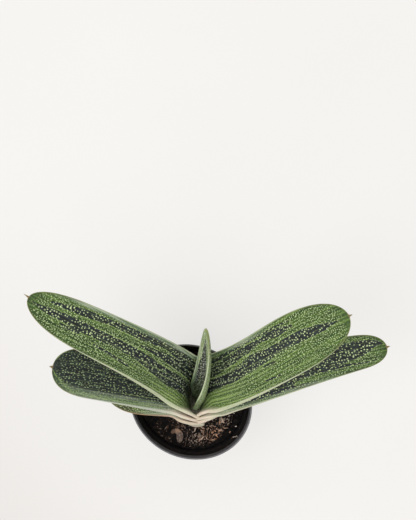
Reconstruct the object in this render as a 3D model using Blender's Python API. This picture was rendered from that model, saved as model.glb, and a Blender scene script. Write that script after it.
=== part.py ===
# A gasteria in a slightly squeezed round nursery pot.
# The origin is the centre of the pot's flat base. +Z is up and +X runs along the fan of leaves.
import math
import random

import bmesh
import bpy
import numpy as np
from mathutils import Matrix, Vector

MM = 0.001

# Pot, in millimetres.
POT_HEIGHT = 75.0
BASE_RADIUS = 32.0
RIM_RADIUS = 45.0
RIM_BAND_HEIGHT = 9.0
RIM_STEP = 1.6
WALL = 1.2
FLOOR = 1.8
LIP_ROUND = 0.6
FOOT_ROUND = 1.5
SQUEEZE_LONG = 1.053
SQUEEZE_SHORT = 0.949
SQUEEZE_TURN_DEG = -28.0
POT_SIDES = 72

# Soil.
SOIL_TOP = 57.0
SOIL_BUMP = 1.1
SOIL_RINGS = 9
SOIL_SIDES = 72
CRUMB_COUNT = 28
CRUMB_SIZE = (0.9, 2.1)
CRUMB_CENTRE = (16.0, -26.0)
CRUMB_SPREAD = (17.0, 9.0)
GAP = 0.35
SIDE_GAP = 0.6

# Curled bark chip on the soil.
CHIP_CENTRE = (-10.6, -28.2)
CHIP_TURN_DEG = 62.0
CHIP_SWEEP_DEG = 235.0
CHIP_RADIUS = 3.3
CHIP_WIDTH = 3.9
CHIP_OUTWARD = 0.25
CHIP_TAIL = 5.5
CHIP_HEIGHT = 2.4

# Shoot axis: it starts above the soil and leans further back toward +Y as it rises.
SHOOT_BASE = np.array([4.0, 3.0, 66.0])
LEAN_LOW_DEG = 24.0
LEAN_HIGH_DEG = 50.0
LEAN_LENGTH = 30.0
SWAY_DEG = 2.0
STEM_RADIUS = 10.5
STEM_FOOT = 46.0
STEM_CLEARING = 18.5
CORE_TOP = 3.6
CORE_STEP = 3.5
CORE_GAP = 0.6

# Leaf meshing.
STATIONS = 30
COLUMNS = 11
CUT_MARGIN = 0.52

# Each leaf: side of the fan, place on the shoot, sheath section (half depth, half width, wrap),
# headings in degrees, blade half widths at base, middle and tip, and the form of its tip.
LEAF_DEFAULTS = dict(
    tip_power=2.6, channel=2.5, open_deg=30.0, roll=(0.0, 0.0), edge=1.0, mucro=2.2,
    thick=(3.0, 5.5), wrap_deg=100.0, twist=1.0,
)
LEAVES = {
    "leaf_center": dict(
        side=1, length=99.1, rise=3.0, keel=2.0, shift=-6.0, sheath=3.0, turn=12.0,
        azimuth=(70.5, 84.9, 94.0), elevation=(57.6, 45.6), roll=(-72.5, -67.7), depth=4.21, width=5.1,
        half=(8.9, 9.9, 7.0), tip_length=62.0, tip_power=2.62, mucro=1.0, thick=(1.8, 3.9),
        wrap_deg=86.0, open_deg=70.0, channel=7.9, edge=0.9, twist=0.0,
    ),
    "leaf_upper_right": dict(
        side=1, length=170.0, rise=5.5, keel=4.2, shift=0.0, sheath=3.0, turn=22.0,
        azimuth=(12.2, 34.1, 24.9), elevation=(54.0, 34.0), roll=(0.0, 0.0), depth=4.2, width=17.4,
        half=(23.1, 20.6, 23.8), tip_length=71.6, tip_power=2.52, mucro=2.6, thick=(3.0, 5.5),
        wrap_deg=100.0, open_deg=30.0, channel=2.5, edge=0.9, twist=1.0,
    ),
    "leaf_upper_left": dict(
        side=-1, length=167.8, rise=4.5, keel=5.55, shift=0.0, sheath=3.0, turn=22.0,
        azimuth=(132.9, 150.3, 145.9), elevation=(46.0, 20.0), roll=(0.0, 0.0), depth=6.55, width=18.2,
        half=(22.1, 18.2, 15.1), tip_length=61.9, tip_power=3.11, mucro=4.2, thick=(3.0, 5.5),
        wrap_deg=100.0, open_deg=30.0, channel=2.5, edge=0.9, twist=1.0,
    ),
    "leaf_lower_right": dict(
        side=1, length=158.6, rise=3.0, keel=8.9, shift=0.0, sheath=3.0, turn=20.0,
        azimuth=(15.4, 17.0, 11.0), elevation=(38.0, 17.0), roll=(10.0, 20.0), depth=8.9, width=18.9,
        half=(24.0, 18.4, 11.6), tip_length=25.9, tip_power=3.65, mucro=2.4, thick=(3.0, 5.5),
        wrap_deg=100.0, open_deg=30.0, channel=2.5, edge=0.9, twist=1.0,
    ),
    "leaf_lower_left": dict(
        side=-1, length=116.5, rise=2.0, keel=10.2, shift=0.0, sheath=3.0, turn=20.0,
        azimuth=(170.9, 168.1, 168.4), elevation=(34.0, 14.0), roll=(0.0, 0.0), depth=11.2, width=19.8,
        half=(21.7, 18.5, 18.5), tip_length=36.4, tip_power=3.15, mucro=2.4, thick=(3.0, 5.5),
        wrap_deg=100.0, open_deg=30.0, channel=2.5, edge=0.9, twist=1.0,
    ),
    "leaf_bottom_right": dict(
        side=1, length=62.0, rise=1.0, keel=13.5, shift=0.0, sheath=3.0, turn=18.0,
        azimuth=(14.0, 14.0, 14.0), elevation=(26.0, 16.0), roll=(0.0, 0.0), depth=13.5, width=20.5,
        half=(19.0, 15.0, 13.0), tip_length=40.0, tip_power=2.6, mucro=1.0, thick=(3.0, 4.5),
        wrap_deg=100.0, open_deg=30.0, channel=2.5, edge=0.9, twist=1.0,
    ),
    "leaf_bottom_left": dict(
        side=-1, length=67.0, rise=0.0, keel=14.8, shift=0.0, sheath=3.0, turn=18.0,
        azimuth=(177.7, 180.6, 175.5), elevation=(28.0, 18.0), roll=(0.0, 0.0), depth=15.8, width=21.5,
        half=(20.9, 17.9, 12.9), tip_length=29.3, tip_power=2.78, mucro=1.0, thick=(3.0, 4.5),
        wrap_deg=108.0, open_deg=30.0, channel=2.5, edge=0.9, twist=1.0,
    ),
}

MATERIALS = {
    "black_plastic": ((0.012, 0.012, 0.013, 1.0), 0.38),
    "soil": ((0.035, 0.024, 0.018, 1.0), 0.95),
    "bark": ((0.16, 0.105, 0.075, 1.0), 0.85),
    "stem": ((0.42, 0.38, 0.24, 1.0), 0.7),
    "leaf": ((0.10, 0.17, 0.065, 1.0), 0.48),
}


def clear_scene():
    for obj in list(bpy.data.objects):
        bpy.data.objects.remove(obj, do_unlink=True)


def material(name):
    found = bpy.data.materials.get(name)
    if found:
        return found
    colour, roughness = MATERIALS[name]
    made = bpy.data.materials.new(name)
    made.use_nodes = True
    shader = made.node_tree.nodes["Principled BSDF"]
    shader.inputs["Base Color"].default_value = colour
    shader.inputs["Roughness"].default_value = roughness
    return made


def make_object(name, points, faces, slot, smooth=True):
    """Points in millimetres and faces as index lists make one mesh object facing outward."""
    mesh = bpy.data.meshes.new(name)
    mesh.from_pydata([tuple(p) for p in np.asarray(points) * MM], [], [tuple(map(int, f)) for f in faces])
    solid = bmesh.new()
    solid.from_mesh(mesh)
    bmesh.ops.remove_doubles(solid, verts=solid.verts, dist=1e-6)
    bmesh.ops.recalc_face_normals(solid, faces=solid.faces)
    if solid.calc_volume(signed=True) < 0:
        bmesh.ops.reverse_faces(solid, faces=solid.faces)
    solid.to_mesh(mesh)
    solid.free()
    mesh.polygons.foreach_set("use_smooth", [smooth] * len(mesh.polygons))
    mesh.materials.append(material(slot))
    obj = bpy.data.objects.new(name, mesh)
    bpy.context.scene.collection.objects.link(obj)
    return obj


def ring_loft(rings):
    """Faces between successive closed rings of equal count, with a fan at each end."""
    count = len(rings[0])
    points = [np.mean(rings[0], axis=0)] + [p for ring in rings for p in ring] + [np.mean(rings[-1], axis=0)]
    faces = []
    for row in range(len(rings) - 1):
        for i in range(count):
            j = (i + 1) % count
            low = 1 + row * count
            faces.append((low + i, low + j, low + count + j, low + count + i))
    last = 1 + (len(rings) - 1) * count
    for i in range(count):
        j = (i + 1) % count
        faces.append((0, 1 + j, 1 + i))
        faces.append((last + i, last + j, len(points) - 1))
    return points, faces


def ease(low, high, value):
    share = np.clip((value - low) / (high - low), 0.0, 1.0)
    return share * share * (3.0 - 2.0 * share)


def blend(first, second, share):
    return first + (second - first) * share


def through(three, share):
    """The parabola through a value at the base, at the middle and at the tip."""
    base, middle, tip = three
    return (
        base * (1 - share) * (1 - 2 * share)
        + 4 * middle * share * (1 - share)
        + tip * share * (2 * share - 1)
    )


def unit(vectors):
    return vectors / np.linalg.norm(vectors, axis=-1, keepdims=True)


# The pot's plan: a circle low down that turns into a slight oval at the rim.
def pot_ring(radius, height, sides):
    turn = math.radians(SQUEEZE_TURN_DEG)
    share = float(ease(0.0, POT_HEIGHT, height))
    long = blend(1.0, SQUEEZE_LONG, share)
    short = blend(1.0, SQUEEZE_SHORT, share)
    angle = np.arange(sides) * 2 * math.pi / sides
    along = radius * long * np.cos(angle)
    across = radius * short * np.sin(angle)
    x = along * math.cos(turn) - across * math.sin(turn)
    y = along * math.sin(turn) + across * math.cos(turn)
    return np.stack([x, y, np.full(sides, height)], axis=-1)


def outer_radius(height):
    top = RIM_RADIUS - RIM_STEP - 0.9
    return blend(BASE_RADIUS, top, height / (POT_HEIGHT - RIM_BAND_HEIGHT))


def inner_radius(height):
    if height > POT_HEIGHT - RIM_BAND_HEIGHT + 1.0:
        share = (height - (POT_HEIGHT - RIM_BAND_HEIGHT + 1.0)) / (RIM_BAND_HEIGHT - 1.0)
        return blend(RIM_RADIUS - WALL - 0.9, RIM_RADIUS - WALL, share)
    return outer_radius(height) - WALL


def make_pot():
    band = POT_HEIGHT - RIM_BAND_HEIGHT
    profile = [
        (BASE_RADIUS - FOOT_ROUND, 0.0),
        (BASE_RADIUS - FOOT_ROUND * 0.3, FOOT_ROUND * 0.3),
        (BASE_RADIUS + 0.1, FOOT_ROUND),
        (outer_radius(band * 0.35), band * 0.35),
        (outer_radius(band * 0.7), band * 0.7),
        (outer_radius(band), band),
        (RIM_RADIUS - 0.9, band + 0.4),
        (RIM_RADIUS, POT_HEIGHT - LIP_ROUND * 1.6),
        (RIM_RADIUS - 0.15, POT_HEIGHT - LIP_ROUND * 0.5),
        (RIM_RADIUS - WALL * 0.5, POT_HEIGHT),
        (RIM_RADIUS - WALL + 0.1, POT_HEIGHT - LIP_ROUND * 0.5),
        (inner_radius(POT_HEIGHT - LIP_ROUND * 1.6), POT_HEIGHT - LIP_ROUND * 1.6),
        (inner_radius(band + 1.01), band + 1.01),
        (inner_radius(band - 1.0), band - 1.0),
        (inner_radius(band * 0.7), band * 0.7),
        (inner_radius(band * 0.35), band * 0.35),
        (inner_radius(FLOOR + 1.5), FLOOR + 1.5),
        (inner_radius(FLOOR) - 1.3, FLOOR),
    ]
    points, faces = ring_loft([pot_ring(r, z, POT_SIDES) for r, z in profile])
    return make_object("pot", points, faces, "black_plastic")


# Soil height: slow waves, finer lumps, a flat patch under the chip and a level collar by the stem.
def soil_height(x, y):
    waves = (
        np.sin(0.21 * x + 0.5) * np.cos(0.17 * y - 0.8)
        + 0.6 * np.sin(0.47 * x - 0.33 * y + 1.1)
        + 0.5 * np.cos(0.61 * y + 0.29 * x)
    )
    chip = np.exp(-(((x - CHIP_CENTRE[0]) ** 2 + (y - CHIP_CENTRE[1]) ** 2) / 12.0**2) ** 3)
    stem = np.exp(-(((x - STEM_AT[0]) ** 2 + (y - STEM_AT[1]) ** 2) / STEM_CLEARING**2) ** 3)
    return SOIL_TOP + SOIL_BUMP * waves * 0.5 * (1 - chip) * (1 - stem)


def make_soil():
    hole = STEM_RADIUS + GAP
    rings = []
    low = FLOOR + GAP
    heights = [low, FLOOR + 2.0, SOIL_TOP * 0.5, SOIL_TOP - 3.0]
    radii = [inner_radius(FLOOR) - 1.3 - SIDE_GAP] + [inner_radius(z) - SIDE_GAP for z in heights[1:]]
    rings += [pot_ring(r, z, SOIL_SIDES) for r, z in zip(radii, heights)]
    edge = pot_ring(inner_radius(SOIL_TOP) - SIDE_GAP, SOIL_TOP, SOIL_SIDES)
    centre = np.array([STEM_AT[0], STEM_AT[1], SOIL_TOP])
    angle = np.arange(SOIL_SIDES) * 2 * math.pi / SOIL_SIDES + math.radians(SQUEEZE_TURN_DEG)
    rim = centre + hole * np.stack([np.cos(angle), np.sin(angle), 0 * angle], axis=-1)
    for k in range(SOIL_RINGS):
        share = (k / (SOIL_RINGS - 1)) ** 0.9
        ring = blend(edge, rim, share)
        ring[:, 2] = soil_height(ring[:, 0], ring[:, 1])
        rings.append(ring)
    floor = rings[-1].copy()
    floor[:, 2] = STEM_FOOT - GAP
    rings.append(floor)
    points, faces = ring_loft(rings)
    soil = make_object("soil", points, faces, "soil", smooth=False)
    crumbs = bpy.data.collections.new("crumbs")
    bpy.context.scene.collection.children.link(crumbs)
    chance = random.Random(7)
    placed = 0
    while placed < CRUMB_COUNT:
        x = chance.gauss(CRUMB_CENTRE[0], CRUMB_SPREAD[0])
        y = chance.gauss(CRUMB_CENTRE[1], CRUMB_SPREAD[1])
        size = chance.uniform(*CRUMB_SIZE)
        spin = Matrix.Rotation(chance.uniform(0, 2 * math.pi), 4, "Z")
        tilt = Matrix.Rotation(chance.uniform(-0.5, 0.5), 4, "X")
        reach = math.hypot(x, y)
        near_chip = math.hypot(x - CHIP_CENTRE[0], y - CHIP_CENTRE[1]) < 12.0
        near_stem = math.hypot(x - STEM_AT[0], y - STEM_AT[1]) < STEM_CLEARING
        if reach > 33.5 or near_chip or near_stem:
            continue
        crumb = bmesh.new()
        bmesh.ops.create_icosphere(crumb, subdivisions=1, radius=size * MM)
        stretch = Matrix.Diagonal((1.5, 0.9, 0.75, 1.0))
        height = float(soil_height(np.array(x), np.array(y))) + size * 0.1
        place = Matrix.Translation(Vector((x, y, height)) * MM)
        bmesh.ops.transform(crumb, matrix=place @ spin @ tilt @ stretch, verts=crumb.verts)
        mesh = bpy.data.meshes.new("crumb")
        crumb.to_mesh(mesh)
        crumb.free()
        piece = bpy.data.objects.new("crumb_%02d" % placed, mesh)
        crumbs.objects.link(piece)
        placed += 1
    union = soil.modifiers.new("crumbs", "BOOLEAN")
    union.operation = "UNION"
    union.operand_type = "COLLECTION"
    union.collection = crumbs
    union.solver = "EXACT"
    apply_modifiers(soil)
    for piece in list(crumbs.objects):
        bpy.data.objects.remove(piece, do_unlink=True)
    bpy.data.collections.remove(crumbs)
    keep_largest(soil)
    return soil


def apply_modifiers(obj):
    graph = bpy.context.evaluated_depsgraph_get()
    mesh = bpy.data.meshes.new_from_object(obj.evaluated_get(graph))
    obj.modifiers.clear()
    obj.data = mesh


# A cut can leave loose slivers beside the main body: only the largest connected body stays.
def keep_largest(obj):
    solid = bmesh.new()
    solid.from_mesh(obj.data)
    left = set(solid.verts)
    groups = []
    while left:
        stack = [left.pop()]
        group = set(stack)
        while stack:
            for edge in stack.pop().link_edges:
                for vert in edge.verts:
                    if vert in left:
                        left.discard(vert)
                        group.add(vert)
                        stack.append(vert)
        groups.append(group)
    groups.sort(key=len)
    loose = [v for group in groups[:-1] for v in group]
    bmesh.ops.delete(solid, geom=loose, context="VERTS")
    solid.to_mesh(obj.data)
    solid.free()


# A hook in plan: a short tail runs into most of a ring whose strip widens toward its far side.
def make_chip():
    turn = math.radians(CHIP_TURN_DEG)
    path = [(-CHIP_TAIL * (1 - k / 4), CHIP_RADIUS) for k in range(4)]
    steps = 14
    sweep = math.radians(CHIP_SWEEP_DEG)
    for k in range(steps + 1):
        a = math.pi / 2 - sweep * k / steps
        path.append((CHIP_RADIUS * math.cos(a), CHIP_RADIUS * math.sin(a)))
    path = np.array(path)
    tangent = unit(np.gradient(path, axis=0))
    normal = np.stack([-tangent[:, 1], tangent[:, 0]], axis=-1)
    bottom = SOIL_TOP + GAP
    rings = []
    for k, (p, n) in enumerate(zip(path, normal)):
        share = k / (len(path) - 1)
        half = CHIP_WIDTH * 0.5 * blend(0.6, 1.0, math.sin(math.pi * share))
        tall = CHIP_HEIGHT * blend(0.7, 1.0, math.sin(math.pi * min(1.0, share * 1.2)))
        ring = []
        for u, v in ((-0.7, 0.0), (0.7, 0.0), (1.0, 0.3), (1.0, 0.7), (0.5, 1.0), (-0.6, 0.9), (-1.0, 0.5)):
            q = p + n * (u + CHIP_OUTWARD) * half
            x = q[0] * math.cos(turn) - q[1] * math.sin(turn) + CHIP_CENTRE[0]
            y = q[0] * math.sin(turn) + q[1] * math.cos(turn) + CHIP_CENTRE[1]
            ring.append((x, y, bottom + v * tall))
        rings.append(np.array(ring))
    points, faces = ring_loft(rings)
    return make_object("bark_chip", points, faces, "bark", smooth=False)


def axis_heading(height):
    lean = np.radians(blend(LEAN_LOW_DEG, LEAN_HIGH_DEG, np.clip(height / LEAN_LENGTH, 0.0, 1.0)))
    sway = math.radians(SWAY_DEG)
    return np.stack(
        [np.full_like(lean, math.sin(sway)), np.sin(lean) * math.cos(sway), np.cos(lean) * math.cos(sway)],
        axis=-1,
    )


def axis_point(height):
    steps = np.linspace(0.0, height, 60)
    headings = axis_heading(steps)
    return SHOOT_BASE + ((headings[1:] + headings[:-1]) / 2 * (steps[1] - steps[0])).sum(axis=0)


# Frame of the shoot at one height: the way up it, across it toward +Y, and out to the side.
def axis_frame(height):
    up = axis_heading(np.array([height]))[0]
    front = unit(np.cross(np.array([1.0, 0.0, 0.0]), up))
    across = -front
    out = unit(np.cross(up, across))
    return up, across, out if out[0] > 0 else -out


STEM_AT = axis_point(-9.0)[:2]


# Spine of a leaf: it leaves the shoot along the axis and turns over into its own heading.
def leaf_spine(leaf, lengths):
    whole, side, sheath, turn = leaf["length"], leaf["side"], leaf["sheath"], leaf["turn"]
    fine = np.linspace(0.0, whole, 500)
    share = np.clip((fine - sheath) / (whole - sheath), 0.0, 1.0)
    leaving = ease(sheath, sheath + turn, fine)[:, None]
    azimuth = np.radians(through(leaf["azimuth"], share))
    rising = np.radians(blend(*leaf["elevation"], share))
    own = np.stack(
        [np.cos(azimuth) * np.cos(rising), np.sin(azimuth) * np.cos(rising), np.sin(rising)], axis=-1
    )
    tangent = unit(axis_heading(leaf["rise"] + fine) * (1 - leaving) + own * leaving)
    up, across, out = axis_frame(leaf["rise"])
    start = axis_point(leaf["rise"]) + out * side * leaf["keel"] + across * leaf["shift"]
    steps = (tangent[1:] + tangent[:-1]) / 2 * (fine[1] - fine[0])
    spine = start + np.concatenate([np.zeros((1, 3)), np.cumsum(steps, axis=0)])
    level = unit(np.cross(np.array([0.0, 0.0, 1.0]), tangent)) * side
    above = unit(np.cross(tangent, level)) * side
    roll = np.radians(blend(*leaf["roll"], share))[:, None]
    flat = level * np.cos(roll) + above * np.sin(roll)
    opening = ease(sheath * 0.3, sheath + turn * 1.4, fine)
    opening = np.maximum(opening, 1 - leaf["twist"])[:, None]
    wide = unit(across * (1 - opening) + flat * opening)
    wide = unit(wide - (wide * tangent).sum(axis=1)[:, None] * tangent)
    inward = -side * np.cross(wide, tangent)

    def at(values):
        return np.stack([np.interp(lengths, fine, values[:, i]) for i in range(3)], axis=-1)

    return at(spine), unit(at(wide)), unit(at(inward)), unit(at(tangent))


# Upper sheet of a leaf: an arc across the spine that is wrapped at the sheath and open in the blade.
def leaf_sheets(leaf, lengths, share, margin=0.0):
    whole, sheath = leaf["length"], leaf["sheath"]
    spine, wide, inward, tangent = leaf_spine(leaf, lengths)
    leaving = ease(sheath * 0.5, sheath + leaf["turn"], lengths)
    along = np.clip((lengths - sheath) / (whole - sheath), 0.0, 1.0)
    ending = np.clip((lengths - (whole - leaf["tip_length"])) / leaf["tip_length"], 0.0, 1.0)
    taper = np.sqrt(np.clip(1 - ending ** leaf["tip_power"], 0.0, 1.0))
    half = blend(leaf["width"], through(leaf["half"], along), leaving) * taper
    arc = np.radians(blend(leaf["wrap_deg"], leaf["open_deg"], leaving))
    wrapped = leaf["depth"] * (1 - math.cos(math.radians(leaf["wrap_deg"])))
    depth = (wrapped * (1 - leaving) ** 1.5 + leaf["channel"] * (1 - along) * leaving) * taper
    angle = arc[:, None] * share[None]
    x = half[:, None] * np.sin(angle) / np.sin(np.minimum(arc, math.pi / 2))[:, None]
    y = depth[:, None] * (1 - np.cos(angle)) / (1 - np.cos(arc))[:, None]
    inner = spine[:, None] + wide[:, None] * x[..., None] + inward[:, None] * y[..., None]
    normal = unit(np.cross(np.gradient(inner, axis=1), np.gradient(inner, axis=0)))
    middle = len(share) // 2
    normal *= np.sign((normal[:, middle] * inward).sum(axis=-1))[:, None, None]
    keel = blend(*leaf["thick"], leaving) * blend(1.0, 0.72, along)
    fall = np.cos(math.pi / 2 * 0.98 * share[None]) ** blend(3.0, 1.0, leaving)[:, None]
    thick = leaf["edge"] + (keel[:, None] - leaf["edge"]) * fall
    thick = thick * (0.65 + 0.35 * taper[:, None])
    outer = inner - normal * (thick + margin)[..., None]
    inner = inner + normal * margin
    if margin > 0.0:
        sideways = unit(inner[:, -1] - inner[:, -2])
        inner[:, -1] += sideways * margin
        outer[:, -1] += sideways * margin
        sideways = unit(inner[:, 0] - inner[:, 1])
        inner[:, 0] += sideways * margin
        outer[:, 0] += sideways * margin
    return inner, outer, tangent


def leaf_mesh(leaf, margin=0.0):
    rows = np.linspace(0.0, 1.0, STATIONS)
    lengths = leaf["length"] * (1 - (1 - rows) ** 1.45)
    lengths[-1] = leaf["length"] - 0.3
    even = np.linspace(-1.0, 1.0, COLUMNS)
    share = 0.5 * even + 0.5 * np.sin(even * math.pi / 2)
    inner, outer, tangent = leaf_sheets(leaf, lengths, share, margin)
    rings = np.concatenate([inner, outer[:, ::-1]], axis=1)
    middle = COLUMNS // 2
    tip = (inner[-1, middle] + outer[-1, middle]) / 2 + tangent[-1] * (leaf["mucro"] + margin)
    if margin > 0.0:
        rings[0] -= tangent[0] * margin
    count = rings.shape[1]
    points = list(rings.reshape(-1, 3)) + [tip]
    faces = []
    for row in range(STATIONS - 1):
        for i in range(count):
            j = (i + 1) % count
            a, b = row * count, (row + 1) * count
            faces.append((a + i, a + j, b + j))
            faces.append((a + i, b + j, b + i))
    for i in range(COLUMNS - 1):
        faces.append((i, count - 1 - i, count - 2 - i, i + 1))
    last = (STATIONS - 1) * count
    for i in range(count):
        faces.append((last + i, last + (i + 1) % count, len(points) - 1))
    return points, faces


def cut_clear(obj, cutters):
    for k, cutter in enumerate(cutters):
        cut = obj.modifiers.new("clear_%d" % k, "BOOLEAN")
        cut.operation = "DIFFERENCE"
        cut.solver = "EXACT"
        cut.object = cutter
    if cutters:
        apply_modifiers(obj)
        keep_largest(obj)


# Inner leaves keep their whole form, and each leaf further out is cut clear of those inside it.
def make_leaves(stem):
    cutters = []
    for name, own in LEAVES.items():
        leaf = {**LEAF_DEFAULTS, **own}
        cut_clear(make_object(name, *leaf_mesh(leaf), "leaf"), cutters)
        cutters.append(make_object(name + "_clear", *leaf_mesh(leaf, CUT_MARGIN), "leaf"))
    cut_clear(stem, cutters)
    for cutter in cutters:
        bpy.data.objects.remove(cutter, do_unlink=True)


# Stem: a round foot in the soil, then a core that fills the nest of leaf bases and narrows upward.
def make_stem():
    sides = 28
    angle = np.arange(sides) * 2 * math.pi / sides

    def level_ring(radius, height):
        x = STEM_AT[0] + radius * np.cos(angle)
        y = STEM_AT[1] + radius * np.sin(angle)
        return np.stack([x, y, np.full(sides, height)], axis=-1)

    def core_ring(height, depth, width, shift):
        up, across, out = axis_frame(height)
        centre = axis_point(height) + out * shift
        return centre + out * depth * np.cos(angle)[:, None] + across * width * np.sin(angle)[:, None]

    outer, inner = LEAVES["leaf_bottom_left"], LEAVES["leaf_upper_right"]
    rings = [
        level_ring(STEM_RADIUS - 0.8, STEM_FOOT),
        level_ring(STEM_RADIUS, STEM_FOOT + 1.0),
        level_ring(STEM_RADIUS, SOIL_TOP + 0.4),
        core_ring(-3.0, STEM_RADIUS + 1.0, STEM_RADIUS + 1.0, 0.5),
        core_ring(0.0, outer["depth"] - CORE_STEP, outer["width"] - CORE_STEP, 0.5),
        core_ring(CORE_TOP, inner["depth"] - CORE_GAP, inner["width"] - CORE_STEP, 0.0),
    ]
    points, faces = ring_loft(rings)
    return make_object("stem", points, faces, "stem")


clear_scene()
make_pot()
make_soil()
make_chip()
make_leaves(make_stem())
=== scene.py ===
import itertools
import math
from types import SimpleNamespace

import bpy
import numpy as np
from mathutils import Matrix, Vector


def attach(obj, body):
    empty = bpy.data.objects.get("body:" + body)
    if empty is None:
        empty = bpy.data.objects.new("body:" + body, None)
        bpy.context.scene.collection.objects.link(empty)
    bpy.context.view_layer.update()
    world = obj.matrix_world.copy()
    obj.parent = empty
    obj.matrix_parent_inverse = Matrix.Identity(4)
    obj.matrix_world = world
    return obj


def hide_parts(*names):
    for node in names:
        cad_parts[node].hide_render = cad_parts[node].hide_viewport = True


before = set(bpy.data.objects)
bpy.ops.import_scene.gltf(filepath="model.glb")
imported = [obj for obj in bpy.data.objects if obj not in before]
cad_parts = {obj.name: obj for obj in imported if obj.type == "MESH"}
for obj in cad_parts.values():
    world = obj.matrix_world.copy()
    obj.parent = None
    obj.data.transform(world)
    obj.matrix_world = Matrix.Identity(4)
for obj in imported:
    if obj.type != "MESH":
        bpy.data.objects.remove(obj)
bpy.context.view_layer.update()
mm = 0.001
print("stage: frame loaded")


def toLinear(colour):
    # screen colour 0-255 to scene-linear, with alpha 1
    values = np.array(colour) / 255
    linear = np.where(values <= 0.04045, values / 12.92, ((values + 0.055) / 1.055) ** 2.4)
    return (*[float(v) for v in linear], 1)


def tint(colour, gain):
    return tuple(min(255, part * gain) for part in colour)


def blend(first, second, share):
    return first + (second - first) * share


def ease(low, high, value):
    # 0 at low to 1 at high, level at both ends
    share = np.clip((value - low) / (high - low), 0, 1)
    return share * share * (3 - 2 * share)


def unit(vectors):
    return vectors / np.linalg.norm(vectors, axis=-1, keepdims=True)


def valueNoise(x, y, seed):
    # smooth noise 0-1: hashed lattice values blended with an eased bilinear weight
    def corner(i, j):
        raw = np.sin(i * 127.1 + j * 311.7 + seed * 74.7) * 43758.5453
        return raw - np.floor(raw)

    i, j = np.floor(x), np.floor(y)
    u, v = x - i, y - j
    u, v = u * u * (3 - 2 * u), v * v * (3 - 2 * v)
    low = corner(i, j) * (1 - u) + corner(i + 1, j) * u
    high = corner(i, j + 1) * (1 - u) + corner(i + 1, j + 1) * u
    return low * (1 - v) + high * v


def fractalNoise(x, y, seed, octaves, fall=0.5):
    # value noise summed over octaves, each twice as fine as the last and weaker by the fall
    total, weight, size = 0, 1, 0
    for k in range(octaves):
        total = total + weight * valueNoise(x * 2**k, y * 2**k, seed + 11 * k)
        size += weight
        weight *= fall
    return total / size


class Value:
    # one output of a shader node, which takes ordinary arithmetic
    def __init__(self, graph, socket):
        self.graph = graph
        self.socket = socket

    def out(self, name):
        # another output of the same node
        return Value(self.graph, self.socket.node.outputs[name])

    def math(self, operation, *others):
        inputs = dict(enumerate((self, *others)))
        return self.graph.node("ShaderNodeMath", {"operation": operation}, inputs)

    def __add__(self, other):
        return self.math("ADD", other)

    def __sub__(self, other):
        return self.math("SUBTRACT", other)

    def __rsub__(self, other):
        return (self * -1) + other

    def __mul__(self, other):
        return self.math("MULTIPLY", other)

    def __truediv__(self, other):
        return self.math("DIVIDE", other)

    __radd__ = __add__
    __rmul__ = __mul__

    def sine(self):
        return self.math("SINE")

    def rise(self, low, high):
        # eased step from 0 at low to 1 at high
        settings = {"interpolation_type": "SMOOTHSTEP", "clamp": True}
        inputs = {"Value": self, "From Min": low, "From Max": high}
        return self.graph.node("ShaderNodeMapRange", settings, inputs)

    def fall(self, low, high):
        return 1 - self.rise(low, high)


class Graph:
    # one material: its node tree, its shader, and short ways to add to them
    def __init__(self, name, specular, constants=None):
        self.material = bpy.data.materials.new(name)
        self.material.use_nodes = True
        self.tree = self.material.node_tree
        self.shader = self.tree.nodes["Principled BSDF"]
        for socketName, value in {"Specular IOR Level": specular, **(constants or {})}.items():
            self.plug(self.shader.inputs[socketName], value)

    def plug(self, socket, item):
        # a link, a screen colour of three numbers, or a plain value
        if isinstance(item, Value):
            self.tree.links.new(item.socket, socket)
        elif isinstance(item, tuple):
            socket.default_value = toLinear(item)
        else:
            socket.default_value = item

    def node(self, kind, settings=None, inputs=None):
        # settings, then sockets by name or number. The value is the node's first output
        made = self.tree.nodes.new(kind)
        for name, value in (settings or {}).items():
            setattr(made, name, value)
        for name, value in (inputs or {}).items():
            self.plug(made.inputs[name], value)
        return Value(self, made.outputs[0])

    def mix(self, factor, first, second):
        inputs = {0: factor, 6: first, 7: second}
        return self.node("ShaderNodeMix", {"data_type": "RGBA"}, inputs).out(2)

    def join(self, x, y, z=0):
        return self.node("ShaderNodeCombineXYZ", None, {"X": x, "Y": y, "Z": z})

    def parts(self, vector):
        split = self.node("ShaderNodeSeparateXYZ", None, {"Vector": vector})
        return split.out("X"), split.out("Y"), split.out("Z")

    def place(self):
        # object coordinates in millimetres
        raw = self.node("ShaderNodeTexCoord").out("Object")
        return self.node("ShaderNodeVectorMath", {"operation": "SCALE"}, {0: raw, "Scale": 1 / mm})

    def noise(self, vector, scale, detail, rough):
        inputs = {"Vector": vector, "Scale": scale, "Detail": detail, "Roughness": rough}
        return self.node("ShaderNodeTexNoise", None, inputs)

    def cells(self, vector, randomness):
        # distance to the nearest point of a jittered lattice whose pitch is 1
        inputs = {"Vector": vector, "Scale": 1, "Randomness": randomness}
        return self.node("ShaderNodeTexVoronoi", {"voronoi_dimensions": "2D"}, inputs)

    def finish(self, colour, rough, height=None, distance=0.001, strength=1):
        # distance: how far the bump's full height stands out, in metres
        self.plug(self.shader.inputs["Base Color"], colour)
        self.plug(self.shader.inputs["Roughness"], rough)
        if height is not None:
            inputs = {"Height": height, "Distance": distance, "Strength": strength}
            self.plug(self.shader.inputs["Normal"], self.node("ShaderNodeBump", None, inputs))
        return self.material


def addObject(name, data, place=(0, 0, 0)):
    obj = bpy.data.objects.new(name, data)
    obj.location = place
    bpy.context.scene.collection.objects.link(obj)
    return obj


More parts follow.
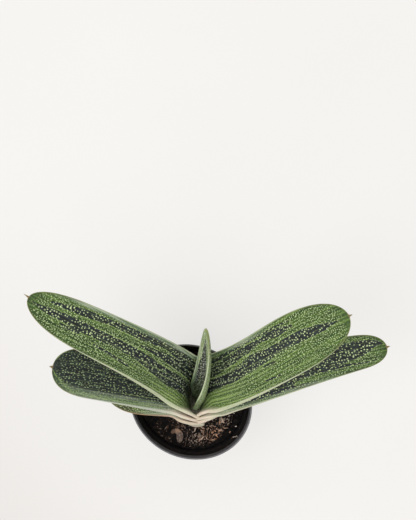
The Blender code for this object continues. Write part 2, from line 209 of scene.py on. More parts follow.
def addMesh(name, points, faces, smooth=True):
    # points in millimetres, faces as one array of quads or triangles
    mesh = bpy.data.meshes.new(name)
    points = np.ascontiguousarray(points, dtype=np.float64) * mm
    faces = np.ascontiguousarray(faces, dtype=np.int32)
    mesh.vertices.add(len(points))
    mesh.vertices.foreach_set("co", points.astype(np.float32).ravel())
    mesh.loops.add(faces.size)
    mesh.loops.foreach_set("vertex_index", faces.ravel())
    mesh.polygons.add(len(faces))
    mesh.polygons.foreach_set("loop_start", np.arange(len(faces), dtype=np.int32) * faces.shape[1])
    mesh.polygons.foreach_set("use_smooth", np.full(len(faces), smooth))
    mesh.update(calc_edges=True)
    mesh.validate()
    return addObject(name, mesh)


def addColours(obj, name, rows):
    layer = obj.data.color_attributes.new(name, "FLOAT_COLOR", "POINT")
    layer.data.foreach_set("color", rows.astype(np.float32).ravel())


def addMap(obj, name, rows):
    # rows hold one pair per vertex, and each face corner takes its vertex's pair
    layer = obj.data.uv_layers.new(name=name)
    corners = np.empty(len(obj.data.loops), np.int32)
    obj.data.loops.foreach_get("vertex_index", corners)
    layer.data.foreach_set("uv", rows[corners].astype(np.float32).ravel())


def closeRings(rings, tip=None):
    # rings: a stack of closed rings of points. Quads between neighbours are split in two, and a fan closes
    # each end. All face out, by the sign of p.(q x r + r x s) summed over the quads
    rows, count = rings.shape[:2]
    points = rings.reshape(-1, 3)
    index = np.arange(rows * count).reshape(rows, count)
    after = np.roll(index, -1, axis=1)
    quads = np.stack([index[:-1], after[:-1], after[1:], index[1:]], axis=-1).reshape(-1, 4)
    lowFan = np.stack([after[0], index[0], np.full(count, len(points))], axis=-1)
    highFan = np.stack([index[-1], after[-1], np.full(count, len(points) + 1)], axis=-1)
    fans = np.concatenate([lowFan, highFan])
    p, q, r, s = (points[quads[:, k]] for k in range(4))
    if (p * (np.cross(q, r) + np.cross(r, s))).sum() < 0:
        quads, fans = quads[:, ::-1], fans[:, ::-1]
    triangles = np.concatenate([quads[:, [0, 1, 2]], quads[:, [0, 2, 3]], fans])
    ends = [rings[0].mean(axis=0), rings[-1].mean(axis=0) if tip is None else tip]
    return np.concatenate([points, ends]), triangles


def dress(obj, material, node):
    obj.data.materials.append(material)
    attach(obj, "root")
    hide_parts(node)


# Shoot and leaves

# the shoot: where it starts, and how far it leans back, in degrees, low down and past its lean length
shoot = {"base": (4, 3, 66), "leanLow": 24, "leanHigh": 50, "leanLength": 30, "sway": 2}

# Leaf form, in millimetres and degrees. side: 1 right, -1 left. rise: height on the shoot. keel, shift: from
# the shoot's axis out and back. sheath, turn: lengths that stay wrapped and that turn over. azimuth, half
# width: at base, middle and tip. elevation, roll: at base and tip. width, depth, wrap: section of the sheath.
# open, channel: the blade's arc and hollow. twist: 1 eases the width from across the shoot to level, 0 has it
# level throughout. thick: keel of sheath and blade, down to its share thin at the tip. edge: at the margin.
# wing: share kept at the sheath's front. wave, rib: heights of the relief. mucro: length of the point.
# Leaf marks. stripes: chains of (share along, share across, half width). silver: bands of painted sheen,
# as (low and high share across, low and high share along, strength). dotPitch, farPitch: of the dots on green
# and on stripes, where rowWave and rowGap set them in wavy rows. smooth: dotless width at the margin. bare,
# underDots: loss and strength of dots on the under side. rim, rimPower, creamWide: the pale margin. wash:
# light green at one side. paleFoot, dimFoot: strength of the pale front of the foot, and of the painted shade
# in its heart
leafDefaults = {
    "shift": 0, "sheath": 3, "turn": 20, "roll": (0, 0), "wrap": 100, "open": 30,
    "channel": 2.5, "twist": 1, "thick": (3, 5.5), "thin": 0.72, "edge": 0.9, "wing": 0.78,
    "wave": 0.35, "rib": 0.22, "rows": 240, "columns": 84, "silver": (), "green": (42, 66, 24),
    "greenLight": (76, 104, 42), "dark": (29, 36, 36), "dot": (196, 214, 158), "underTone": (104, 122, 78),
    "rim": (206, 210, 178), "dotPitch": 1.65, "farPitch": 2.25, "rowWave": 0, "rowGap": 1,
    "smooth": 2.2, "bare": 0.55, "underDots": 0.5, "creamWide": 2.3, "rimPower": 1, "wash": 0,
    "paleFoot": 1, "dimFoot": 0,
}
leaves = {
    "leaf_center": {
        "side": 1, "length": 99.1, "rise": 3, "keel": 2, "shift": -6, "turn": 12,
        "azimuth": (70.5, 84.9, 94), "elevation": (57.6, 45.6), "roll": (-72.5, -67.7), "depth": 4.21,
        "width": 5.1, "half": (8.9, 9.9, 7), "tipLength": 62, "tipPower": 2.62, "mucro": 1,
        "thick": (1.8, 3.9), "wrap": 86, "open": 70, "channel": 7.9, "twist": 0,
        "rows": 170, "columns": 60, "wave": 0.1,
        "stripes": (
            ((0.02, 0.3, 0.6), (0.3, 0.3, 0.5), (0.52, 0.26, 0.36), (0.71, 0.2, 0.24), (0.86, 0.12, 0.1)),
        ),
        "silver": ((0.8, 1, 0, 0.95, 0.8),),
        "green": (118, 140, 82), "greenLight": (166, 184, 130), "dark": (26, 33, 26), "dot": (238, 244, 220),
        "underTone": (120, 142, 86), "rim": (226, 236, 200), "dotPitch": 1.5, "farPitch": 1.7, "smooth": 0.5,
        "bare": 0, "underDots": 0.95, "creamWide": 0, "rimPower": 0.8, "paleFoot": 0, "dimFoot": 0.28,
    },
    "leaf_upper_right": {
        "side": 1, "length": 170, "rise": 5.5, "keel": 4.2, "turn": 22,
        "azimuth": (12.2, 34.1, 24.9), "elevation": (54, 34), "depth": 4.2,
        "width": 17.4, "half": (23.1, 20.6, 23.8), "tipLength": 71.6, "tipPower": 2.52, "mucro": 2.6,
        "stripes": (
            ((0.03, -0.12, 0.16), (0.15, -0.07, 0.15), (0.3, 0, 0.16), (0.38, 0.07, 0.18), (0.46, 0.13, 0.21),
             (0.6, 0.13, 0.13), (0.77, 0.1, 0.16), (0.87, 0.02, 0.12), (0.94, 0, 0.03)),
            ((0.05, 0.3, 0.16), (0.19, 0.38, 0.15), (0.28, 0.49, 0.14), (0.43, 0.6, 0.13), (0.56, 0.65, 0.07),
             (0.65, 0.6, 0.13), (0.73, 0.56, 0.05)),
            ((0.1, 0.62, 0.06), (0.23, 0.71, 0.06), (0.31, 0.8, 0.06), (0.5, 0.85, 0.04), (0.73, 0.75, 0.03)),
            ((0.5, -0.19, 0.03), (0.55, -0.21, 0.03)),
            ((0.47, -0.64, 0.03), (0.54, -0.69, 0.03)),
        ),
        "silver": ((0.86, 1, 0.05, 0.6, 0.6),),
        "green": (46, 72, 22), "greenLight": (84, 112, 40), "wash": 1,
    },
    "leaf_upper_left": {
        "side": -1, "length": 167.8, "rise": 4.5, "keel": 5.55, "turn": 22,
        "azimuth": (132.9, 150.3, 145.9), "elevation": (46, 20), "depth": 6.55,
        "width": 18.2, "half": (22.1, 18.2, 15.1), "tipLength": 61.9, "tipPower": 3.11, "mucro": 4.2,
        "stripes": (
            ((0.03, -0.12, 0.17), (0.16, -0.2, 0.22), (0.26, -0.19, 0.2), (0.41, -0.05, 0.16),
             (0.52, 0, 0.15), (0.72, -0.02, 0.18), (0.84, -0.01, 0.16), (0.9, -0.1, 0.16),
             (0.96, -0.14, 0.06)),
            ((0.04, 0.62, 0.2), (0.13, 0.55, 0.18), (0.22, 0.7, 0.16), (0.31, 0.77, 0.13), (0.46, 0.66, 0.13),
             (0.6, 0.65, 0.1), (0.76, 0.55, 0.14), (0.89, 0.43, 0.08)),
            ((0.02, 0.28, 0.16), (0.15, 0.34, 0.15), (0.32, 0.36, 0.11), (0.42, 0.33, 0.04)),
            ((0.45, -0.57, 0.05), (0.55, -0.49, 0.05), (0.63, -0.44, 0.04)),
            ((0.74, -0.3, 0.06), (0.81, -0.34, 0.05)),
        ),
        "silver": ((0.84, 1, 0.1, 0.85, 0.8),),
        "wash": 0.8,
    },
    "leaf_lower_right": {
        "side": 1, "length": 158.6, "rise": 3, "keel": 8.9,
        "azimuth": (15.4, 17, 11), "elevation": (38, 17), "roll": (10, 20), "depth": 8.9,
        "width": 18.9, "half": (24, 18.4, 11.6), "tipLength": 25.9, "tipPower": 3.65, "mucro": 2.4,
        "stripes": (
            ((0.1, -0.5, 0.1), (0.4, -0.5, 0.12), (0.5, -0.46, 0.14), (0.6, -0.36, 0.16), (0.73, -0.07, 0.3),
             (0.81, 0.14, 0.42), (0.9, 0.25, 0.36), (0.97, 0.5, 0.14)),
            ((0.1, 0.3, 0.5), (0.5, 0.3, 0.5), (0.7, 0.5, 0.4)),
            ((0.68, -0.49, 0.05), (0.79, -0.51, 0.06), (0.93, -0.68, 0.04)),
            ((0.2, -0.8, 0.05), (0.4, -0.78, 0.06), (0.51, -0.8, 0.05), (0.62, -0.89, 0.04)),
            ((0.04, -0.58, 0.12), (0.25, -0.62, 0.14), (0.5, -0.64, 0.1)),
        ),
        "silver": ((-1, -0.82, 0.1, 0.75, 0.35),),
        "creamWide": 0.7,
    },
    "leaf_lower_left": {
        "side": -1, "length": 116.5, "rise": 2, "keel": 10.2,
        "azimuth": (170.9, 168.1, 168.4), "elevation": (34, 14), "depth": 11.2,
        "width": 19.8, "half": (21.7, 18.5, 18.5), "tipLength": 36.4, "tipPower": 3.15, "mucro": 2.4,
        "stripes": (((0, 0.26, 0.8), (0.6, 0.24, 0.82), (0.86, 0.22, 0.8), (0.99, 0.2, 0.5)),),
        "silver": ((-1, -0.62, 0, 0.9, 0.33),),
        "green": (42, 60, 36), "greenLight": (66, 86, 56), "dark": (24, 32, 29), "dot": (150, 168, 126),
        "rim": (202, 208, 190), "dotPitch": 1.75, "farPitch": 1.9, "rowWave": 0.7, "rowGap": 1.2,
        "creamWide": 2,
    },
    "leaf_bottom_right": {
        "side": 1, "length": 62, "rise": 1, "keel": 13.5, "turn": 18,
        "azimuth": (14, 14, 14), "elevation": (26, 16), "depth": 13.5,
        "width": 20.5, "half": (19, 15, 13), "tipLength": 40, "tipPower": 2.6, "mucro": 1,
        "thick": (3, 4.5), "rows": 150, "columns": 60,
        "stripes": (((0, 0.1, 0.6), (1.1, 0.1, 0.6)),),
        "green": (70, 88, 50), "greenLight": (96, 112, 72),
    },
    "leaf_bottom_left": {
        "side": -1, "length": 67, "rise": 0, "keel": 14.8, "turn": 18,
        "azimuth": (177.7, 180.6, 175.5), "elevation": (28, 18), "depth": 15.8,
        "width": 21.5, "half": (20.9, 17.9, 12.9), "tipLength": 29.3, "tipPower": 2.78, "mucro": 1,
        "thick": (3, 4.5), "wrap": 108, "rows": 150, "columns": 60,
        "stripes": (((0, 0.1, 0.72), (0.6, 0.1, 0.7), (0.85, 0.1, 0.4)),),
        "silver": ((-1, -0.75, 0, 0.6, 0.5),),
        "green": (66, 72, 42), "greenLight": (98, 104, 70), "rim": (176, 142, 108), "creamWide": 0.6,
    },
}
mapSize = 200  # millimetres of leaf to one unit of its map
marginSpan = 20  # distance from the margin that is kept as 1


def through(three, share):
    # parabola through the values at base, middle and tip
    base, middle, tip = three
    nearer = base * (1 - share) * (1 - 2 * share) + 4 * middle * share * (1 - share)
    return nearer + tip * share * (2 * share - 1)


def axisHeading(height):
    # the shoot leans back evenly with height until its full lean
    risen = np.clip(height / shoot["leanLength"], 0, 1)
    lean = np.radians(blend(shoot["leanLow"], shoot["leanHigh"], risen))
    sway = math.radians(shoot["sway"])
    level = math.cos(sway)
    return np.stack([np.full_like(lean, math.sin(sway)), np.sin(lean) * level, np.cos(lean) * level], axis=-1)


def axisPoint(height):
    # running sum of the headings from the shoot's base
    steps = np.linspace(0, height, 60)
    headings = axisHeading(steps)
    return np.array(shoot["base"]) + ((headings[1:] + headings[:-1]) / 2 * (steps[1] - steps[0])).sum(axis=0)


def axisFrame(height):
    # the way up the shoot, across it toward the back, and out to the right
    up = axisHeading(np.array([height]))[0]
    across = -unit(np.cross(np.array([1, 0, 0]), up))
    out = unit(np.cross(up, across))
    return up, across, out if out[0] > 0 else -out


def leafSpine(leaf, lengths):
    # heading = shoot axis eased into the leaf's own azimuth and elevation; spine = its running sum
    whole, side, sheath, turn = leaf["length"], leaf["side"], leaf["sheath"], leaf["turn"]
    fine = np.linspace(0, whole, 500)
    share = np.clip((fine - sheath) / (whole - sheath), 0, 1)
    leaving = ease(sheath, sheath + turn, fine)[:, None]
    azimuth = np.radians(through(leaf["azimuth"], share))
    rising = np.radians(blend(*leaf["elevation"], share))
    reach = np.cos(rising)
    own = np.stack([np.cos(azimuth) * reach, np.sin(azimuth) * reach, np.sin(rising)], axis=-1)
    tangent = unit(axisHeading(leaf["rise"] + fine) * (1 - leaving) + own * leaving)
    up, across, out = axisFrame(leaf["rise"])
    start = axisPoint(leaf["rise"]) + out * side * leaf["keel"] + across * leaf["shift"]
    steps = (tangent[1:] + tangent[:-1]) / 2 * (fine[1] - fine[0])
    spine = start + np.concatenate([np.zeros((1, 3)), np.cumsum(steps, axis=0)])
    # width direction: across the shoot in the sheath, then level and rolled in the blade
    level = unit(np.cross(np.array([0, 0, 1]), tangent)) * side
    above = unit(np.cross(tangent, level)) * side
    roll = np.radians(blend(*leaf["roll"], share))[:, None]
    flat = level * np.cos(roll) + above * np.sin(roll)
    opening = np.maximum(ease(sheath * 0.3, sheath + turn * 1.4, fine), 1 - leaf["twist"])[:, None]
    wide = unit(across * (1 - opening) + flat * opening)
    wide = unit(wide - (wide * tangent).sum(axis=1)[:, None] * tangent)
    inward = -side * np.cross(wide, tangent)

    def at(values):
        return np.stack([np.interp(lengths, fine, values[:, i]) for i in range(3)], axis=-1)

    return at(spine), unit(at(wide)), unit(at(inward)), unit(at(tangent))


def leafSurface(leaf, seed):
    # two sheets either side of a middle sheet. across: an arc, wrapped at the sheath and open in the blade.
    # thickness: a cosine from keel to margin, times (1 - |share|^16)^0.5, which rounds the margin.
    # tip: the width falls as (1 - e^tipPower)^0.5, where e runs from 0 to 1 over the tip's length
    rows, columns = leaf["rows"], leaf["columns"]
    whole, sheath = leaf["length"], leaf["sheath"]
    step = np.linspace(0, 1, rows)
    lengths = whole * (1 - (1 - step) ** 1.9)
    lengths[-1] = whole - 0.05
    even = np.linspace(-1, 1, columns)
    share = 0.45 * even + 0.55 * np.sin(even * math.pi / 2)
    spine, wide, inward, tangent = leafSpine(leaf, lengths)
    leaving = ease(sheath * 0.5, sheath + leaf["turn"], lengths)
    along = np.clip((lengths - sheath) / (whole - sheath), 0, 1)
    ending = np.clip((lengths - (whole - leaf["tipLength"])) / leaf["tipLength"], 0, 1)
    taper = np.sqrt(np.clip(1 - ending ** leaf["tipPower"], 0, 1))
    half = blend(leaf["width"], through(leaf["half"], along), leaving) * taper
    arc = np.radians(blend(leaf["wrap"], leaf["open"], leaving))
    wrapped = leaf["depth"] * (1 - math.cos(math.radians(leaf["wrap"])))
    depth = (wrapped * (1 - leaving) ** 1.5 + leaf["channel"] * (1 - along) * leaving) * taper
    angle = arc[:, None] * share[None]
    x = half[:, None] * np.sin(angle) / np.sin(np.minimum(arc, math.pi / 2))[:, None]
    y = depth[:, None] * (1 - np.cos(angle)) / (1 - np.cos(arc))[:, None]
    upper = spine[:, None] + wide[:, None] * x[..., None] + inward[:, None] * y[..., None]
    normal = unit(np.cross(np.gradient(upper, axis=1), np.gradient(upper, axis=0)))
    normal *= np.sign((normal[:, columns // 2] * inward).sum(axis=-1))[:, None, None]
    # thickness, kept up in the sheath's front wing so that the wings close into a collar
    keel = blend(*leaf["thick"], leaving) * blend(1, leaf["thin"], along)
    fall = np.cos(math.pi / 2 * 0.98 * share[None]) ** blend(3, 1, leaving)[:, None]
    front = (1 - ease(10, 30, lengths))[:, None] * ease(-0.1, -0.7, share)[None]
    fall = np.maximum(fall, leaf["wing"] * front)
    thick = (leaf["edge"] + (keel[:, None] - leaf["edge"]) * fall) * (0.65 + 0.35 * taper[:, None])
    rounding = np.sqrt(1 - np.abs(share) ** 16)
    closing = np.sqrt(np.clip(1 - ending**24, 0, 1))
    stand = (thick * 0.5 * rounding[None] * closing[:, None])[..., None]
    # relief: slow waves, and fine ribs that run along the blade
    across = share[None] * half[:, None]
    wave = fractalNoise(lengths[:, None] / 17 + seed, across / 11, seed, 2) - 0.5
    rib = fractalNoise(lengths[:, None] / 60 + seed, across / 1.9, seed + 5, 2) - 0.5
    relief = (wave * leaf["wave"] + rib * leaf["rib"] * leaving[:, None]) * (1 - np.abs(share[None]) ** 6)
    relief = relief * closing[:, None]
    centre = upper - normal * (thick * 0.5)[..., None] + normal * relief[..., None]
    spike = (centre + normal * stand)[-1, columns // 2] + tangent[-1] * leaf["mucro"]
    return SimpleNamespace(lengths=lengths, along=along, share=share, across=across, half=half,
                           top=centre + normal * stand, under=centre - normal * stand, spike=spike)


def leafMarks(leaf, along, across, ring, under):
    # red: 1 on a stripe's middle line falling to 0 a little outside its width, green: pale foot of the fan,
    # blue: bands of painted sheen
    field = np.zeros((len(along), len(across)))
    for chain in leaf["stripes"]:
        nodes = np.array(chain)
        centre, wide = (np.interp(along, nodes[:, 0], nodes[:, k]) for k in (1, 2))
        start, end = nodes[0, 0], nodes[-1, 0]
        ends = ease(start - 0.03, start + 0.01, along) * (1 - ease(end - 0.01, end + 0.03, along))
        spread = np.abs(across[None] - centre[:, None]) / (wide[:, None] * 1.5)
        field = np.maximum(field, np.clip(1 - spread, 0, 1) * ends[:, None])
    silver = np.zeros_like(field)
    for low, high, start, end, strength in leaf["silver"]:
        over = ease(low - 0.06, low + 0.06, across) * (1 - ease(high - 0.06, high + 0.06, across))
        run = ease(start - 0.06, start + 0.06, along) * (1 - ease(end - 0.1, end + 0.1, along))
        silver = np.maximum(silver, run[:, None] * over[None] * strength)
    x, y = ring[..., 0], ring[..., 1]
    south = np.maximum(ease(-0.6, -0.88, across)[None], under)
    pale = np.exp(-(((x - 7) / 24) ** 2)) * south * (1 - ease(-7, 0, y)) * leaf["paleFoot"]
    return [field * (1 - under), pale, silver * (1 - under), np.ones_like(field)]


def makeLeaf(name, leaf, seed):
    # ring: upper sheet from margin to margin, then the under sheet back without its two shared margin points.
    # the last ring is drawn out to a spike, the mucro
    form = leafSurface(leaf, seed)
    ring = np.concatenate([form.top, form.under[:, -2:0:-1]], axis=1)
    obj = addMesh(name, *closeRings(ring, form.spike))

    # what the material reads: each layer has a value for every point of the rings, then for base and spike
    def perPoint(layers, base, spike):
        return np.concatenate([np.stack(layers, axis=-1).reshape(-1, len(layers)), [base, spike]])

    whole = ring.shape[:2]
    shareRow = np.concatenate([form.share, form.share[-2:0:-1]])
    share = np.broadcast_to(shareRow, whole)
    under = np.broadcast_to(np.arange(whole[1]) >= leaf["columns"], whole).astype(float)
    lengths, along, half = (np.broadcast_to(v[:, None], whole) for v in (form.lengths, form.along, form.half))
    across = np.concatenate([form.across, form.across[:, -2:0:-1]], axis=1)
    flat = [lengths / mapSize, across / mapSize + 0.5 + under]
    addMap(obj, "leafMap", perPoint(flat, (0, 0.5), (leaf["length"] / mapSize, 0.5)))
    margin = np.clip(half * (1 - np.abs(share)) / marginSpan, 0, 1)
    tone = [along, share * 0.5 + 0.5, margin, under]
    addColours(obj, "leafTone", perPoint(tone, (0, 0.5, 0.5, 0), (1, 0.5, 0, 0)))
    marks = leafMarks(leaf, form.along, shareRow, ring, under)
    addColours(obj, "leafMarks", perPoint(marks, (0, 1, 0, 1), (0, 0, 0, 1)))
    return obj


# noises drawn out along the leaf: change per millimetre along and across, layer, detail and roughness
leafNoises = {
    "streak": (0.03, 0.34, 0, 3, 0.6),
    "hair": (0.03, 0.62, 4, 2, 0.5),
    "line": (0.025, 0.55, 9, 2, 0.5),
    "wander": (0.012, 0.09, 2, 1, 0.5),
    "blotch": (0.16, 0.3, 0, 3, 0.6),
    "grit": (0.75, 0.9, 0, 2, 0.6),
}
# of these, the two sheen tones are painted sheen, and the dark foot tones and their lighter mate are painted
# shade
leafTones = {
    "bright": (136, 160, 84), "wash": (96, 124, 52), "line": (156, 178, 110), "footDot": (205, 208, 190),
    "silver": (104, 124, 98), "paintedSheenLight": (180, 190, 166), "foot": (34, 42, 26), "footLight": (84, 92, 66),
    "dimFoot": (46, 58, 32), "pale": (228, 208, 192), "paleGreen": (188, 190, 164), "rimTip": (136, 138, 84),
    "rimPink": (236, 214, 198), "rimCream": (222, 214, 190), "tip": (186, 166, 126),
}


def leafFields(g, seed):
    # s, x: millimetres along and across. along: share from 0 to 1. q: share across from -1 to 1.
    # margin: millimetres from the margin
    f = SimpleNamespace()
    u, v, _ = g.parts(g.node("ShaderNodeUVMap", {"uv_map": "leafMap"}))
    f.s, f.x = u * mapSize, (v - 0.5) * mapSize
    tone = g.node("ShaderNodeAttribute", {"attribute_name": "leafTone"})
    marks = g.node("ShaderNodeAttribute", {"attribute_name": "leafMarks"})
    f.along, share, margin = g.parts(tone.out("Vector"))
    f.under = tone.out("Alpha")
    f.field, f.pale, f.silver = g.parts(marks.out("Vector"))
    f.q, f.margin = share * 2 - 1, margin * marginSpan
    f.shift = 37 * seed
    for key, (alongRate, acrossRate, layer, detail, rough) in leafNoises.items():
        place = g.join(f.s * alongRate + f.shift, f.x * acrossRate, layer)
        setattr(f, key, g.noise(place, 1, detail, rough))
    f.streaked, f.gritty = f.streak.rise(0.4, 0.6), f.grit.rise(0.4, 0.6)
    return f


def bladeColour(g, leaf, f):
    # dark stripes: the field of the chains, made ragged by blotches, hairlines and grit
    ragged = (f.blotch - 0.5) * 0.8 + (f.hair - 0.5) * 0.5 + (f.grit - 0.5) * 0.2
    f.dark = (f.field + ragged * f.field.rise(0.02, 0.4)).rise(0.15, 0.25)
    # green: two tones by streaks, deep in the grit, bright beside the stripes and washed toward one margin
    f.edge = f.field.rise(0, 0.08) * f.field.fall(0.14, 0.3)
    f.wash = f.q.fall(-0.35, 0) * f.along.fall(0.12, 0.42) * leaf["wash"]
    green = g.mix(f.streak.rise(0.38, 0.64), leaf["green"], leaf["greenLight"])
    green = g.mix(f.grit.fall(0.34, 0.5) * 0.35, green, tint(leaf["green"], 0.5))
    green = g.mix(f.edge * f.gritty * 0.7, green, leafTones["bright"])
    green = g.mix(f.wash * 0.7, green, g.mix(f.streaked, leafTones["wash"], leafTones["bright"]))
    stripe = g.mix(f.blotch.rise(0.4, 0.62), tint(leaf["dark"], 0.72), tint(leaf["dark"], 1.35))
    colour = g.mix(f.dark, green, stripe)
    # fine lines: crests and troughs of a sine across the blade that wanders along it, strongest at the foot
    toward = f.along.fall(0.05, 0.95) * 0.55 + 0.3
    vein = (f.x * 2.5 + f.wander * 16 + f.hair * 3).sine()
    f.lineDark = vein.rise(0.55, 0.9) * toward * (f.streaked * 0.5 + 0.5)
    f.lineLight = vein.fall(-0.95, -0.65) * f.line.rise(0.38, 0.52) * toward
    colour = g.mix(f.lineDark, colour, tint(leaf["dark"], 0.45))
    return g.mix(f.lineLight * (1 - f.dark * 0.45) * 0.8, colour, leafTones["line"])


def addDots(g, leaf, f, colour):
    # light dots: round cells of a jittered lattice, close on the green, wider and partly missing on stripes
    pitch, wider, gap = leaf["dotPitch"], leaf["farPitch"], leaf["rowGap"]
    near = g.cells(g.join(f.s / pitch + f.shift, f.x / (pitch * 0.85)), 0.85)
    dots = (near + (f.grit - 0.5) * 0.2).fall(0.2, 0.33)
    rowed = (f.s + (f.x * 0.9).sine() * leaf["rowWave"]) / (wider * gap)
    far = g.cells(g.join(rowed + f.shift, f.x / (wider * 0.85 / gap)), 0.9)
    pick, other, _ = g.parts(far.out("Color"))
    farDots = (far + (pick - 0.5) * 0.16).fall(0.2, 0.3) * (pick - f.blotch * 0.5).rise(-0.14, 0)
    dots = dots * (1 - f.dark) * (f.edge * 0.25 + 0.72) + farDots * f.dark * 0.95
    # none at the margin or the tip, fewer under the leaf, in the wash and on the fine lines
    fresh = f.margin.rise(0.4, leaf["smooth"]) * f.along.fall(0.93, 0.995) * (1 - f.under * leaf["bare"])
    f.dots = dots * fresh * (1 - f.wash * 0.6) * (1 - f.lineDark * 0.85) * (1 - f.lineLight * 0.5)
    f.dotTone = g.mix(other, tint(leaf["dot"], 0.86), tint(leaf["dot"], 1.12))
    f.dotTone = g.mix(f.along.fall(0.08, 0.4) * 0.6, f.dotTone, leafTones["footDot"])
    return g.mix(f.dots, colour, f.dotTone)


def addUnderAndFoot(g, leaf, f, colour):
    # bands of painted sheen, the smooth under side, painted shade at the foot in the fan's heart, and the
    # pale foot in front
    tones = leafTones
    # painted sheen: lighter, greyer bands where the leaf's gloss catches the light
    paintedSheenTone = g.mix(f.hair.rise(0.42, 0.6), tones["silver"], tones["paintedSheenLight"])
    colour = g.mix(f.silver * (0.45 + f.grit * 0.4 + f.hair * 0.5), colour, paintedSheenTone)
    underTone = g.mix(f.streak.rise(0.35, 0.68), tint(leaf["underTone"], 0.8), tint(leaf["underTone"], 1.15))
    underTone = g.mix(f.dots * leaf["underDots"], underTone, f.dotTone)
    colour = g.mix(f.under * 0.85, colour, underTone)
    # painted shade: the upper side darkened near the foot, where the sheaths lie in each other's shade
    foot = f.s.fall(leaf["sheath"] + 1, leaf["sheath"] + leaf["turn"] * 0.7) * (1 - f.under)
    colour = g.mix(foot * 0.8, colour, g.mix(f.gritty, tones["foot"], tones["footLight"]))
    # painted shade: the centre leaf darkened toward its foot
    colour = g.mix(f.along.fall(0.1, 0.3) * leaf["dimFoot"] * 2.4, colour, tones["dimFoot"])
    return g.mix(f.pale * 0.92, colour, g.mix(f.streaked, tones["pale"], tones["paleGreen"]))


def addRimAndTip(g, leaf, f, colour):
    # the horny margin, wider and cream toward the foot of the front side, and the brown tip
    tones = leafTones
    cream = f.q.fall(-0.85, -0.5) * f.along.fall(0, 0.75) * leaf["creamWide"]
    f.rim = (f.margin + (f.grit - 0.5) * 0.5 - cream).fall(0.25, 1) * (f.q.rise(-0.2, 0.3) * -0.3 + 0.95)
    rimTone = g.mix(f.along.rise(0.6, 0.98), leaf["rim"], tones["rimTip"])
    rimTone = g.mix(f.pale, rimTone, g.mix(f.streaked, tones["rimPink"], tones["rimCream"]))
    # no rim where the foot carries painted shade
    pastFoot = f.along.rise(leaf["dimFoot"] * 0.6 - 0.01, leaf["dimFoot"] * 1.2)
    colour = g.mix(f.rim * (0.5 + f.grit * 0.6) * leaf["rimPower"] * pastFoot, colour, rimTone)
    return g.mix(f.s.rise(leaf["length"] - 0.9, leaf["length"]) * 0.8, colour, tones["tip"])


def leafMaterial(name, leaf, seed):
    g = Graph(name, 0.3, {"Subsurface Weight": 0.03, "Subsurface Scale": 0.003})
    f = leafFields(g, seed)
    colour = bladeColour(g, leaf, f)
    for layer in (addDots, addUnderAndFoot, addRimAndTip):
        colour = layer(g, leaf, f, colour)
    rough = 0.46 + f.grit * 0.14 - f.silver * 0.06
    height = f.dots * 0.9 + f.rim * 0.5 + f.grit * 0.2 - f.hair.rise(0.53, 0.62) * 0.35
    return g.finish(colour, rough, height, 0.00025)


for number, (name, own) in enumerate(leaves.items(), 1):
    leaf = {**leafDefaults, **own}
    dress(makeLeaf("show_" + name, leaf, number), leafMaterial("skin_" + name, leaf, number), name)
print("stage: leaves made")

# Pot

pot = {
    "height": 75, "baseRadius": 32, "rimRadius": 45, "bandHeight": 9, "rimStep": 1.6, "flare": 0.9,
    "wall": 1.2, "floor": 1.8, "lipRound": 0.6, "footRound": 1.5, "long": 1.053, "short": 0.949,
    "turn": -28, "sides": 288,
    # the two light greys are painted sheen and a painted highlight on the lip, and the near-black one painted
    # shade in the groove
    "black": (20, 20, 21), "grey": (33, 32, 33), "sheen": (124, 123, 127), "grooveShade": (7, 7, 7),
    "lip": (176, 176, 180), "dust": (98, 84, 76),
}
bandFoot = pot["height"] - pot["bandHeight"]


def ovalRings(radius, height, sides):
    # a circle at the foot that eases into an oval at the rim
    turn = math.radians(pot["turn"])
    share = ease(0, pot["height"], height)[:, None]
    angle = (np.arange(sides) * 2 * math.pi / sides)[None]
    along = radius[:, None] * blend(1, pot["long"], share) * np.cos(angle)
    over = radius[:, None] * blend(1, pot["short"], share) * np.sin(angle)
    x = along * math.cos(turn) - over * math.sin(turn)
    y = along * math.sin(turn) + over * math.cos(turn)
    return np.stack([x, y, np.broadcast_to(height[:, None], x.shape)], axis=-1)


def outerRadius(height):
    # a straight taper from the base to under the band
    top = pot["rimRadius"] - pot["rimStep"] - pot["flare"]
    return blend(pot["baseRadius"], top, height / bandFoot)


def innerRadius(height):
    # the wall's thickness inside the taper, and inside the band above its step
    start = bandFoot + 1
    if height > start:
        inner = pot["rimRadius"] - pot["wall"]
        return blend(inner - pot["flare"], inner, (height - start) / (pot["bandHeight"] - 1))
    return outerRadius(height) - pot["wall"]


def potProfile():
    # radius and height, from the foot up the outside, round the lip, and down the inside to the floor. The
    # foot and the lip are arcs, the wall is straight, and the band stands out by a step and flares a little
    top, rim, wall = pot["height"], pot["rimRadius"], pot["wall"]
    base, lip, foot, floor = pot["baseRadius"], pot["lipRound"], pot["footRound"], pot["floor"]
    rows = [(0.4, 0), (base * 0.5, 0), (base - foot, 0)]
    for k in range(1, 7):
        a = math.pi / 2 * k / 6
        rows.append((base - foot + foot * math.sin(a), foot * (1 - math.cos(a))))
    rows += [(outerRadius(z), z) for z in np.linspace(foot + 1, bandFoot - 0.4, 22)]
    rows += [(outerRadius(bandFoot) + 0.1, bandFoot - 0.1), (outerRadius(bandFoot) + 0.8, bandFoot + 0.05)]
    rows += [(rim - 1.15, bandFoot + 0.15), (rim - 0.9, bandFoot + 0.5)]
    rows += [(blend(rim - 0.88, rim, k / 6), blend(bandFoot + 0.9, top - lip * 1.6, k / 6)) for k in range(7)]
    for k in range(1, 9):
        a = math.pi * k / 9
        rows.append((rim - wall / 2 + wall / 2 * math.cos(a), top - lip + lip * math.sin(a)))
    rows += [(innerRadius(z), z) for z in np.linspace(top - lip * 1.6, bandFoot + 1.02, 8)]
    rows += [(innerRadius(z), z) for z in np.linspace(bandFoot - 0.6, floor + 1.6, 24)]
    rows += [(innerRadius(floor) - 1.2, floor), (12, floor), (0.4, floor)]
    return np.array(rows)


